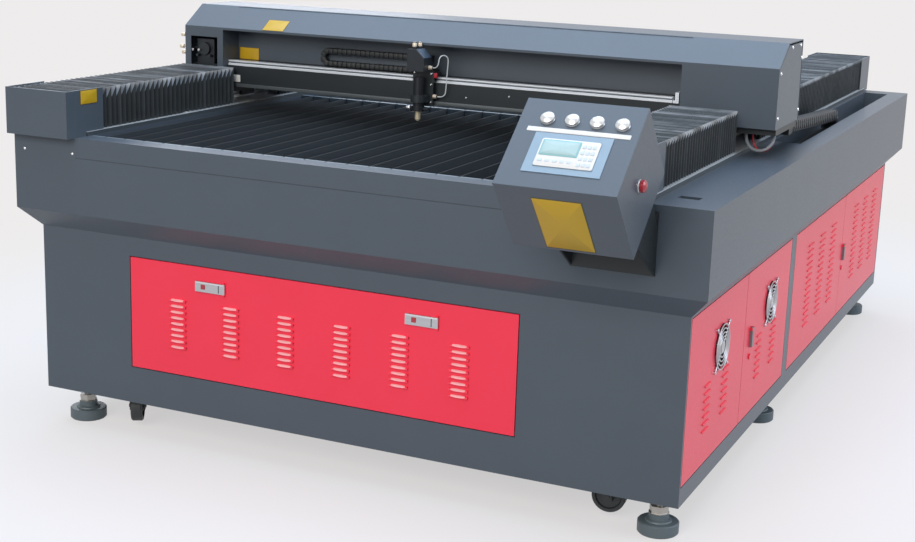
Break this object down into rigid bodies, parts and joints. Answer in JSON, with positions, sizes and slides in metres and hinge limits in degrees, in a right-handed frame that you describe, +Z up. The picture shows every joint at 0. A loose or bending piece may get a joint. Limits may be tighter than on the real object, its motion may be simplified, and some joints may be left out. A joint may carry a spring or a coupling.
{
  "type": "laser cutting machine",
  "caption": "Floor-standing flat-bed laser cutter: louvred cabinet, slatted bed, bellows-covered guides, travelling bridge with cutting head, and a tilted control console.",
  "frame": {"origin": "on the floor under the middle of the machine's outline, console included", "axes": "+X to the operator's right, +Y to the back of the machine, +Z up"},
  "size_m": [2.252, 3.5312, 1.314],
  "materials": {
    "cabinet_paint": "semi-gloss blue-grey powder coat",
    "door_paint": "gloss red powder coat",
    "electrics_metal": "satin",
    "galvanised_steel": "matt zinc",
    "dark_steel": "satin black",
    "ground_steel": "ground bright",
    "bellows_cloth": "coated cloth",
    "chain_plastic": "moulded",
    "panel_film": "printed film",
    "button_plastic": "polished",
    "stop_plastic": "polished",
    "foot_iron": "painted",
    "zinc_steel": "zinc plated",
    "wheel_nylon": "moulded",
    "latch_chrome": "satin chrome",
    "fan_plastic": "moulded",
    "tube_glass": "clear",
    "head_aluminium": "anodised",
    "nozzle_brass": "turned",
    "cable_sheath_grey": "matt",
    "cable_sheath_red": "matt",
    "hose_plastic": "clear hose"
  },
  "bodies": {
    "machine": {"cabinet_front_wall": "cabinet_paint", "cabinet_left_wall": "cabinet_paint", "cabinet_rear_wall": "cabinet_paint", "cabinet_right_frame": "cabinet_paint", "cabinet_floor": "cabinet_paint", "electrics": "electrics_metal", "tray_end_beams": "cabinet_paint", "tray_left_beam": "cabinet_paint", "tray_right_beam": "cabinet_paint", "dust_pan": "cabinet_paint", "comb_bars": "galvanised_steel", "bed_slats": "dark_steel", "long_rails": "ground_steel", "bellows_covers": "cabinet_paint", "front_bellows": "bellows_cloth", "rear_bellows": "bellows_cloth", "long_drag_chain": "chain_plastic", "console_bracket": "dark_steel", "console_case": "cabinet_paint", "control_panel": "panel_film", "levelling_feet": "foot_iron"},
    "bridge": {"bridge_beam": "dark_steel", "bridge_hood": "cabinet_paint", "bridge_end_boxes": "cabinet_paint", "laser_tube": "tube_glass", "mirror_mount": "head_aluminium", "cross_rail": "ground_steel", "cross_drag_chain": "chain_plastic", "cable_grey": "cable_sheath_grey", "cable_red": "cable_sheath_red"},
    "head": {"head_carriage": "dark_steel", "head_mirror": "head_aluminium", "air_hose": "hose_plastic"},
    "lens": {"lens_tube": "nozzle_brass"},
    "front_door": {"front_door": "door_paint"},
    "front_latch_left": {"front_latch_left": "latch_chrome"},
    "front_latch_right": {"front_latch_right": "latch_chrome"},
    "side_door_a": {"side_door_a": "door_paint", "fan_housing_a": "fan_plastic"},
    "side_door_b": {"side_door_b": "door_paint", "fan_housing_b": "fan_plastic"},
    "side_door_c": {"side_door_c": "door_paint"},
    "side_door_d": {"side_door_d": "door_paint"},
    "side_latch_b": {"side_latch_b": "latch_chrome"},
    "side_latch_d": {"side_latch_d": "latch_chrome"},
    "fan_a": {"fan_rotor_a": "fan_plastic"},
    "fan_b": {"fan_rotor_b": "fan_plastic"},
    "stop_button": {"stop_button": "stop_plastic"},
    "push_button_1": {"push_button_1": "button_plastic"},
    "push_button_2": {"push_button_2": "button_plastic"},
    "push_button_3": {"push_button_3": "button_plastic"},
    "push_button_4": {"push_button_4": "button_plastic"},
    "front_left_caster": {"front_left_caster_fork": "zinc_steel"},
    "front_left_wheel": {"front_left_caster_wheel": "wheel_nylon"},
    "front_right_caster": {"front_right_caster_fork": "zinc_steel"},
    "front_right_wheel": {"front_right_caster_wheel": "wheel_nylon"},
    "rear_left_caster": {"rear_left_caster_fork": "zinc_steel"},
    "rear_left_wheel": {"rear_left_caster_wheel": "wheel_nylon"},
    "rear_right_caster": {"rear_right_caster_fork": "zinc_steel"},
    "rear_right_wheel": {"rear_right_caster_wheel": "wheel_nylon"}
  },
  "joints": [
    {"name": "bridge_slide", "type": "slide", "parent": "machine", "child": "bridge", "axis": [0, 1, 0], "range_m": [-0.6, 1.45], "deforming": ["front_bellows", "rear_bellows", "long_drag_chain"]},
    {"name": "head_slide", "type": "slide", "parent": "bridge", "child": "head", "axis": [1, 0, 0], "range_m": [-0.62, 0.7], "deforming": ["cross_drag_chain"]},
    {"name": "focus_slide", "type": "slide", "parent": "head", "child": "lens", "axis": [0, 0, 1], "range_m": [-0.008, 0.012]},
    {"name": "front_door_hinge", "type": "hinge", "parent": "machine", "child": "front_door", "pos_m": [0, -1.29336, 0.247], "axis": [1, 0, 0], "range_deg": [0, 90]},
    {"name": "front_latch_left_pivot", "type": "hinge", "parent": "front_door", "child": "front_latch_left", "pos_m": [-0.3865, -1.30366, 0.538], "axis": [0, 0, 1], "range_deg": [0, 45]},
    {"name": "front_latch_right_pivot", "type": "hinge", "parent": "front_door", "child": "front_latch_right", "pos_m": [0.3315, -1.30366, 0.538], "axis": [0, 0, 1], "range_deg": [0, 45]},
    {"name": "side_door_a_hinge", "type": "hinge", "parent": "machine", "child": "side_door_a", "pos_m": [1.064, -1.28136, 0.415], "axis": [0, 0, -1], "range_deg": [0, 90]},
    {"name": "side_door_b_hinge", "type": "hinge", "parent": "machine", "child": "side_door_b", "pos_m": [1.064, -0.12086, 0.415], "axis": [0, 0, 1], "range_deg": [0, 90]},
    {"name": "side_door_c_hinge", "type": "hinge", "parent": "machine", "child": "side_door_c", "pos_m": [1.064, -0.03786, 0.415], "axis": [0, 0, -1], "range_deg": [0, 90]},
    {"name": "side_door_d_hinge", "type": "hinge", "parent": "machine", "child": "side_door_d", "pos_m": [1.064, 1.64964, 0.415], "axis": [0, 0, 1], "range_deg": [0, 90]},
    {"name": "side_latch_b_pivot", "type": "hinge", "parent": "side_door_b", "child": "side_latch_b", "pos_m": [1.0743, -0.60986, 0.464], "axis": [0, -1, 0], "range_deg": [0, 50]},
    {"name": "side_latch_d_pivot", "type": "hinge", "parent": "side_door_d", "child": "side_latch_d", "pos_m": [1.0743, 0.83139, 0.452], "axis": [0, -1, 0], "range_deg": [0, 50]},
    {"name": "fan_a_spin", "type": "hinge", "parent": "side_door_a", "child": "fan_a", "pos_m": [1.05, -0.96111, 0.495], "axis": [1, 0, 0], "continuous": true},
    {"name": "fan_b_spin", "type": "hinge", "parent": "side_door_b", "child": "fan_b", "pos_m": [1.05, -0.37336, 0.495], "axis": [1, 0, 0], "continuous": true},
    {"name": "push_button_1_travel", "type": "slide", "parent": "machine", "child": "push_button_1", "axis": [0, -0.6561, 0.7547], "range_m": [-0.003, 0], "stiffness_N_per_m": 500},
    {"name": "push_button_2_travel", "type": "slide", "parent": "machine", "child": "push_button_2", "axis": [0, -0.6561, 0.7547], "range_m": [-0.003, 0], "stiffness_N_per_m": 500},
    {"name": "push_button_3_travel", "type": "slide", "parent": "machine", "child": "push_button_3", "axis": [0, -0.6561, 0.7547], "range_m": [-0.003, 0], "stiffness_N_per_m": 500},
    {"name": "push_button_4_travel", "type": "slide", "parent": "machine", "child": "push_button_4", "axis": [0, -0.6561, 0.7547], "range_m": [-0.003, 0], "stiffness_N_per_m": 500},
    {"name": "stop_button_travel", "type": "slide", "parent": "machine", "child": "stop_button", "axis": [1, 0, 0], "range_m": [-0.004, 0], "stiffness_N_per_m": 600},
    {"name": "front_left_caster_swivel", "type": "hinge", "parent": "machine", "child": "front_left_caster", "pos_m": [-0.802, -1.17436, 0.15], "axis": [0, 0, 1], "continuous": true},
    {"name": "front_left_caster_roll", "type": "hinge", "parent": "front_left_caster", "child": "front_left_wheel", "pos_m": [-0.78746, -1.2006, 0.072], "axis": [-0.8746, -0.4848, 0], "continuous": true},
    {"name": "front_right_caster_swivel", "type": "hinge", "parent": "machine", "child": "front_right_caster", "pos_m": [0.802, -1.17436, 0.15], "axis": [0, 0, 1], "continuous": true},
    {"name": "front_right_caster_roll", "type": "hinge", "parent": "front_right_caster", "child": "front_right_wheel", "pos_m": [0.83189, -1.17174, 0.072], "axis": [0.0872, -0.9962, 0], "continuous": true},
    {"name": "rear_left_caster_swivel", "type": "hinge", "parent": "machine", "child": "rear_left_caster", "pos_m": [-0.802, 1.54564, 0.15], "axis": [0, 0, 1], "continuous": true},
    {"name": "rear_left_caster_roll", "type": "hinge", "parent": "rear_left_caster", "child": "rear_left_wheel", "pos_m": [-0.802, 1.51564, 0.072], "axis": [-1, 0, 0], "continuous": true},
    {"name": "rear_right_caster_swivel", "type": "hinge", "parent": "machine", "child": "rear_right_caster", "pos_m": [0.802, 1.54564, 0.15], "axis": [0, 0, 1], "continuous": true},
    {"name": "rear_right_caster_roll", "type": "hinge", "parent": "rear_right_caster", "child": "rear_right_wheel", "pos_m": [0.787, 1.51966, 0.072], "axis": [-0.866, 0.5, 0], "continuous": true}
  ]
}
